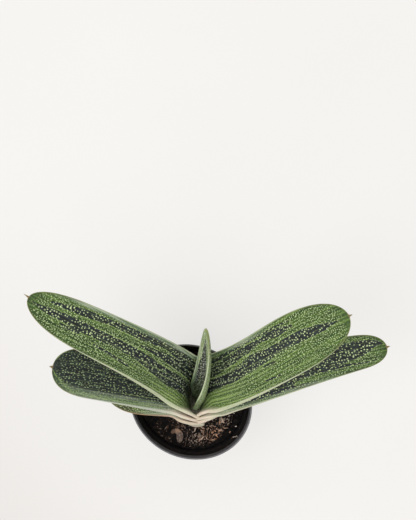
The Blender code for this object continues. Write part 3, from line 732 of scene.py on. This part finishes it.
def potMaterial():
    g = Graph("pot_plastic", 0.5)
    place = g.place()
    x, y, z = g.parts(place)
    scuff = g.noise(place, 0.35, 4, 0.6)
    fine = g.noise(place, 2.2, 3, 0.6)
    dust = g.noise(g.join(x * 0.9, y * 0.9, z * 0.35), 1, 4, 0.7)
    colour = g.mix(scuff.rise(0.35, 0.7), pot["black"], pot["grey"])
    # painted sheen of the rim band, strongest inside: nearer the axis than the band's outer face, on the oval
    turn, inner = math.radians(pot["turn"]), pot["rimRadius"] - 1
    along = (x * math.cos(turn) + y * math.sin(turn)) / pot["long"]
    over = (y * math.cos(turn) - x * math.sin(turn)) / pot["short"]
    inside = (along * along + over * over).fall((inner - 0.1) ** 2, (inner + 0.1) ** 2)
    sheen = 0.1 + inside * 0.5 + dust.rise(0.4, 0.7) * 0.15
    colour = g.mix(z.rise(bandFoot + 0.8, bandFoot + 2) * sheen, colour, pot["sheen"])
    # painted shade: a near-black line in the groove at the foot of the band, darker than the plastic
    grooveShade = z.rise(bandFoot - 1, bandFoot) * z.fall(bandFoot + 1, bandFoot + 2.2)
    colour = g.mix(grooveShade, colour, pot["grooveShade"])
    # painted highlight: a speckled light line along the top of the lip
    lip = z.rise(pot["height"] - 0.8, pot["height"] - 0.4) * (0.08 + fine.rise(0.42, 0.6) * 0.4)
    colour = g.mix(lip, colour, pot["lip"])
    # dust gathers on the inside wall above the soil and at the rim, and painted sheen grows toward the rim
    dustAndSheen = dust.rise(0.5, 0.78) * (0.18 + z.rise(58, pot["height"] - 0.5) * 0.25)
    colour = g.mix(dustAndSheen, colour, pot["dust"])
    return g.finish(colour, 0.34 + scuff * 0.2 + dustAndSheen * 0.5, fine * 0.4 + scuff * 0.6, 0.0002, 0.5)


potRadii, potHeights = potProfile().T
potRings = ovalRings(potRadii, potHeights, pot["sides"])
dress(addMesh("show_pot", *closeRings(potRings)), potMaterial(), "pot")
print("stage: pot made")

# Soil

# crumbs: (count, sizes, spread, tallest stretch, seed). strays: a pale twig, fibres caught at the wall, a
# reddish scrap and specks, each (x, y, height, half length, half width, tilt, turn, brightness, warmth)
soil = {
    "top": 57, "bump": 1.1, "rings": 150, "sides": 420, "sideGap": 0.6,
    "stemAt": axisPoint(-9)[:2], "pocket": 10.9, "pocketFloor": 45.65, "stemFlat": 18.5, "stemClear": 13.5,
    "chipAt": (-10.6, -28.2), "chipFlat": 12, "chipClear": 6, "crumbCentre": (16, -26), "reach": 36.5,
    "crumbs": (900, (0.35, 0.9), (21, 13), 0.8, 21), "bigCrumbs": (60, (0.9, 1.5), (20, 11), 0.7, 22),
    "strays": (
        (23.9, -15.2, 61.5, 2.9, 0.6, 30, -67, 1, 0.35), (21.9, -17.2, 59.6, 1.8, 0.5, 10, 80, 0.6, 0.8),
        (33.2, -27.6, 66.5, 2.6, 0.22, 12, 12, 1, 0), (35.2, -27.4, 67, 1.7, 0.2, -10, -58, 1, 0),
        (31.6, -30.2, 64, 1.9, 0.4, 8, -70, 0.5, 1), (34.6, -20.6, 58.6, 0.9, 0.6, 0, 20, 1, 0.1),
        (29.8, -25, 58.2, 1.1, 0.5, 0, 50, 0.5, 0.6), (6.5, -27.5, 58.4, 2.3, 1.2, 5, -70, 0.25, 0.2),
    ),
    "ground": (6, 4, 4), "groundLight": (50, 39, 33), "fibre": (58, 44, 37), "fibreLight": (240, 222, 206),
    "rust": (92, 52, 34), "rustLight": (250, 184, 140), "crumb": (20, 15, 13), "shade": (20, 15, 12),
}


def squareFrom(x, y, key):
    return (x - soil[key][0]) ** 2 + (y - soil[key][1]) ** 2


def soilHeight(x, y):
    # slow waves as in the solid, plus lumps and grains, flat under the chip and at the stem
    waves = np.sin(0.21 * x + 0.5) * np.cos(0.17 * y - 0.8) + 0.6 * np.sin(0.47 * x - 0.33 * y + 1.1)
    waves = waves + 0.5 * np.cos(0.61 * y + 0.29 * x)
    chipSpot, stemSpot = (np.exp(-((squareFrom(x, y, thing + "At") / soil[thing + "Flat"] ** 2) ** 3))
                          for thing in ("chip", "stem"))
    lumps = (fractalNoise(x / 2.6, y / 2.6, 3, 3, 0.6) - 0.5) * 2.2
    grains = (fractalNoise(x / 0.8, y / 0.8, 9, 2) - 0.5) * 0.7
    slow = soil["bump"] * waves * 0.5 * (1 - chipSpot) * (1 - stemSpot)
    return soil["top"] + slow + (lumps + grains) * (1 - stemSpot * 0.8) * (1 - chipSpot * 0.4)


def makeSoil():
    # rings up the pot's inner wall, then from the wall in to the stem's pocket at the height of the soil, and
    # straight down to the pocket's floor
    sides, gap = soil["sides"], soil["sideGap"]
    low = pot["floor"] + 0.4
    heights = np.array([low, pot["floor"] + 2, 28.5, 50])
    radii = np.array([innerRadius(pot["floor"]) - 2] + [innerRadius(z) - gap for z in heights[1:]])
    below = ovalRings(radii, heights, sides)
    edge = ovalRings(np.array([innerRadius(soil["top"]) - gap]), np.array([soil["top"]]), sides)[0]
    share = (np.linspace(0, 1, soil["rings"]) ** 0.9)[:, None, None]
    angle = np.arange(sides) * 2 * math.pi / sides + math.radians(pot["turn"])
    circle = np.stack([np.cos(angle), np.sin(angle), np.zeros(sides)], axis=-1)
    pocket = np.array([*soil["stemAt"], soil["top"]]) + soil["pocket"] * circle
    top = edge[None] * (1 - share) + pocket[None] * share
    top[..., 2] = soilHeight(top[..., 0], top[..., 1])
    floor = top[-1:].copy()
    floor[..., 2] = soil["pocketFloor"]
    return closeRings(np.concatenate([below, top, floor]))


def icosahedron():
    # corners of three golden rectangles at right angles, with a face wherever three corners are an edge apart
    golden = (1 + 5**0.5) / 2
    corners = np.array([
        [-1, golden, 0], [1, golden, 0], [-1, -golden, 0], [1, -golden, 0], [0, -1, golden], [0, 1, golden],
        [0, -1, -golden], [0, 1, -golden], [golden, 0, -1], [golden, 0, 1], [-golden, 0, -1], [-golden, 0, 1],
    ])
    touching = np.linalg.norm(corners[:, None] - corners[None], axis=-1) < 2.1
    found = []
    for a, b, c in itertools.combinations(range(12), 3):
        if touching[a, b] and touching[b, c] and touching[a, c]:
            facing = np.dot(np.cross(corners[b] - corners[a], corners[c] - corners[a]), corners[a])
            found.append((a, c, b) if facing < 0 else (a, b, c))
    return corners / np.linalg.norm(corners[0]), np.array(found)


def rotated(first, second, angle):
    # two coordinates of each crumb's corners, turned by the crumb's angle
    cosine, sine = np.cos(angle)[:, None], np.sin(angle)[:, None]
    return first * cosine - second * sine, first * sine + second * cosine


def layCrumbs(chance, places, size, stretch, tilt, turn, tone):
    # crumbs: ragged icosahedra, stretched, tilted and turned. Returns points, faces and a tone for each point
    corners, triangles = icosahedron()
    n = len(places)
    ragged = 1 + chance.uniform(-0.28, 0.28, (n, 12, 1))
    local = corners[None] * ragged * stretch[:, None] * size[:, None, None]
    x, z = rotated(local[..., 0], local[..., 2], tilt)
    x, y = rotated(x, local[..., 1], turn)
    points = (np.stack([x, y, z], axis=-1) + places[:, None]).reshape(-1, 3)
    faces = (triangles[None] + 12 * np.arange(n)[:, None, None]).reshape(-1, 3)
    return points, faces, np.repeat(tone, 12, axis=0)


def scatterCrumbs(count, sizes, spread, tall, seed):
    # a normal spread about the crumbs' centre, kept off the wall, the stem and the chip.
    # tone: brightness, warmth and darkness of each crumb; most are dull and a few bright
    chance = np.random.default_rng(seed)
    x = chance.normal(soil["crumbCentre"][0], spread[0], count * 3)
    y = chance.normal(soil["crumbCentre"][1], spread[1], count * 3)
    keep = np.hypot(x, y) < soil["reach"]
    for thing in ("stem", "chip"):
        keep &= squareFrom(x, y, thing + "At") > soil[thing + "Clear"] ** 2
    x, y = x[keep][:count], y[keep][:count]
    n = len(x)
    size = chance.uniform(*sizes, n) * chance.uniform(0.6, 1, n)
    stretch = [chance.uniform(1.2, 3.2, n), chance.uniform(0.4, 0.8, n), chance.uniform(0.35, tall, n)]
    rightward = ease(-8, 8, x)
    warm = np.maximum(np.exp(-(((x - 18) / 16) ** 2 + ((y + 27) / 10) ** 2)), 0.6 * (1 - rightward))
    bright = chance.uniform(0, 1, n) ** 1.6 * (0.3 + 0.7 * rightward)
    tone = [bright, warm * chance.uniform(0.2, 1, n), chance.uniform(0, 1, n)]
    places = np.stack([x, y, soilHeight(x, y) + size * 0.15], axis=-1)
    tilt, turn = chance.normal(0, 0.45, n), chance.uniform(0, 2 * math.pi, n)
    return layCrumbs(chance, places, size, np.stack(stretch, axis=-1), tilt, turn, np.stack(tone, axis=-1))


def strayBits():
    # as long and as wide as given, and fully dark where they are not bright
    rows = np.array(soil["strays"])
    slim = rows[:, 4] / rows[:, 3]
    stretch = np.stack([np.ones(len(rows)), slim, slim], axis=-1)
    tone = np.stack([rows[:, 7], rows[:, 8], np.ones(len(rows))], axis=-1)
    tilt, turn = np.radians(rows[:, 5:7]).T
    return layCrumbs(np.random.default_rng(5), rows[:, :3], rows[:, 3], stretch, tilt, turn, tone)


def soilMaterial():
    g = Graph("potting_mix", 0.25)
    place = g.place()
    lump = g.noise(place, 0.45, 4, 0.65)
    fine = g.noise(place, 1.6, 4, 0.7)
    tone = g.node("ShaderNodeAttribute", {"attribute_name": "crumbTone"})
    bright, warm, other = g.parts(tone.out("Vector"))
    ground = g.mix(lump.rise(0.46, 0.72), soil["ground"], soil["groundLight"])
    fibre = g.mix(bright, soil["fibre"], soil["fibreLight"])
    rust = g.mix(bright, soil["rust"], soil["rustLight"])
    chips = g.mix(other.fall(0.35, 0.5), g.mix(warm, fibre, rust), soil["crumb"])
    colour = g.mix(tone.out("Alpha"), ground, chips)
    colour = g.mix(fine.rise(0.45, 0.75) * 0.3, colour, soil["shade"])
    return g.finish(colour, 0.95 - lump * 0.15, fine + lump, 0.0006, 0.8)


# the soil's own surface has a tone of zeros, and a crumb's has its alpha at 1
soilPoints, soilFaces = makeSoil()
toneRows = np.zeros((len(soilPoints), 4))
bits = (scatterCrumbs(*soil["crumbs"]), scatterCrumbs(*soil["bigCrumbs"]), strayBits())
for bitPoints, bitFaces, bitTone in bits:
    soilFaces = np.concatenate([soilFaces, bitFaces + len(soilPoints)])
    soilPoints = np.concatenate([soilPoints, bitPoints])
    toneRows = np.concatenate([toneRows, np.column_stack([bitTone, np.ones(len(bitTone))])])
soilObject = addMesh("show_soil", soilPoints, soilFaces)
addColours(soilObject, "crumbTone", toneRows)
dress(soilObject, soilMaterial(), "soil")
print("stage: soil made")

# Curled bark chip

# line: its centre line with half widths, as (x, y, half)
chip = {
    "line": ((-15.2, -26.4, 1.1), (-13.9, -24.2, 1.6), (-10.8, -24, 2.1), (-8.8, -26.6, 2.7),
             (-8.7, -29.8, 2.6), (-8.9, -32.2, 1.7), (-9, -33.4, 0.7)),
    "low": 57.3, "tall": 2.5, "rows": 70, "sides": 40, "power": 2.6,
    "bark": (66, 51, 44), "barkLight": (150, 132, 120), "tan": (172, 136, 110), "tail": (44, 30, 24),
}


def makeChip():
    # section: a superellipse |a|^2.6 + |b|^2.6 = 1 on the centre line, hollowed along its middle, with ragged
    # ends. The line: straight runs between its points, averaged over nine steps
    nodes = np.array(chip["line"])
    share = np.linspace(0, 1, chip["rows"])
    at = np.linspace(0, 1, len(nodes))
    straight = [np.pad(np.interp(share, at, nodes[:, k]), 4, mode="edge") for k in range(3)]
    line = np.stack([np.convolve(run, np.ones(9) / 9, "valid") for run in straight], axis=-1)
    ahead = unit(np.gradient(line[:, :2], axis=0))
    side = np.stack([-ahead[:, 1], ahead[:, 0]], axis=-1)
    angle = np.arange(chip["sides"]) * 2 * math.pi / chip["sides"]
    a, b = (np.sign(v) * np.abs(v) ** (2 / chip["power"]) for v in (np.cos(angle), np.sin(angle)))
    closing = np.sqrt(np.clip(1 - np.abs(share * 2 - 1) ** 14, 0.02, 1))[:, None]
    rough = fractalNoise(share[:, None] * 14, a[None] * 1.5, 31, 3) - 0.5
    wide = line[:, 2:3] * closing * (a[None] + rough * 0.25)
    flat = line[:, None, :2] + side[:, None] * wide[..., None]
    hollow = 0.35 * (1 - a[None] ** 2) * (b[None] > 0)
    swell = 1 + b[None] * closing * (1 + rough * 0.3)
    height = chip["low"] + chip["tall"] * 0.5 * swell - hollow * closing
    return closeRings(np.concatenate([flat, height[..., None]], axis=-1))


def barkMaterial():
    # grain drawn out along y, tan on the far bend, and painted shade at the tail for the hollow of the curl
    g = Graph("bark_skin", 0.2)
    x, y, z = g.parts(g.place())
    grain = g.noise(g.join(x * 1.6, y * 0.6, z * 2), 1, 4, 0.65)
    colour = g.mix(grain.rise(0.38, 0.66), chip["bark"], chip["barkLight"])
    colour = g.mix((y - x * 0.2).rise(-24.4, -22.4) * 0.6, colour, chip["tan"])
    # painted shade: the tail darkened for the curl's hollow
    colour = g.mix(x.fall(-13, -11.4) * 0.6, colour, chip["tail"])
    return g.finish(colour, 0.85 - grain * 0.1, grain, 0.0005, 0.8)


dress(addMesh("show_chip", *makeChip()), barkMaterial(), "bark_chip")

# Stem

# the solid's own mesh is kept, brown in the soil and green where the leaves leave it
stem = {
    "pale": (150, 140, 100), "light": (196, 186, 152), "root": (70, 52, 40), "green": (30, 38, 22),
    "greenLight": (66, 78, 46), "soilLine": (57, 61), "leafLine": (68, 71),
}


def stemMaterial():
    g = Graph("stem_skin", 0.3)
    place = g.place()
    _, _, z = g.parts(place)
    mottled = g.noise(place, 0.5, 4, 0.6)
    colour = g.mix(mottled.rise(0.35, 0.7), stem["pale"], stem["light"])
    colour = g.mix(z.fall(*stem["soilLine"]) * 0.8, colour, stem["root"])
    leafy = g.mix(mottled.rise(0.4, 0.6), stem["green"], stem["greenLight"])
    colour = g.mix(z.rise(*stem["leafLine"]), colour, leafy)
    return g.finish(colour, 0.6 + mottled * 0.2, mottled, 0.0004, 0.6)


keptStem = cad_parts["stem"]
keptStem.data.materials.clear()
keptStem.data.materials.append(stemMaterial())
print("stage: chip made and stem dressed")

# Floor, light and camera

# the floor is in millimetres, and the light and the camera are in metres
stage = {
    "reach": 3000, "under": 0.05, "paper": (150, 149, 147), "paperWarm": (148, 145, 142),
    "corner": (128, 122, 118), "glow": (250, 249, 247), "glowStrength": 0.63,
    "sky": (1, 0.995, 0.985, 1), "skyStrength": 0.86,
    "keyPlace": (-0.55, -0.2, 1.3), "keyTarget": (0, 0, 0.1), "keySize": 0.9, "keyPower": 6,
    "cameraPlace": (0.01295, 0.1076, 1.005), "lens": 85,
}


def floorMaterial():
    # part of the paper's brightness is a glow of its own, which keeps shadows faint
    glow = {"Emission Color": stage["glow"], "Emission Strength": stage["glowStrength"]}
    g = Graph("floor_paper", 0.1, glow)
    place = g.place()
    soft = g.noise(place, 0.004, 2, 0.5)
    x, y, _ = g.parts(place)
    corner = x + y * 0.7
    colour = g.mix(soft.rise(0.3, 0.75), stage["paper"], stage["paperWarm"])
    # painted shadow: the paper darker in a broad band toward the lower left
    colour = g.mix(corner.fall(-260, -40) * corner.rise(-800, -300), colour, stage["corner"])
    return g.finish(colour, 0.8 + soft * 0.1)


corners = np.array([(-1, -1), (1, -1), (1, 1), (-1, 1)]) * stage["reach"]
floorPoints = np.column_stack([corners, np.full(4, -stage["under"])])
floor = addMesh("floor", floorPoints, np.array([[0, 1, 2, 3]]), smooth=False)
floor.data.materials.append(floorMaterial())

world = bpy.data.worlds.new("soft_light")
world.use_nodes = True
sky = world.node_tree.nodes["Background"]
sky.inputs["Color"].default_value = stage["sky"]
sky.inputs["Strength"].default_value = stage["skyStrength"]
bpy.context.scene.world = world
bpy.context.scene.view_settings.view_transform = "Standard"

keyData = bpy.data.lights.new("key_light", "AREA")
keyData.shape = "DISK"
keyData.size = stage["keySize"]
keyData.energy = stage["keyPower"]
facing = Vector(stage["keyTarget"]) - Vector(stage["keyPlace"])
keyLight = addObject("key_light", keyData, stage["keyPlace"])
keyLight.rotation_euler = facing.to_track_quat("-Z", "Y").to_euler()

cameraData = bpy.data.cameras.new("camera")
cameraData.lens = stage["lens"]
cameraData.sensor_width = 36
cameraData.clip_end = 20
bpy.context.scene.camera = addObject("camera", cameraData, stage["cameraPlace"])
print("stage: floor, light and camera set")
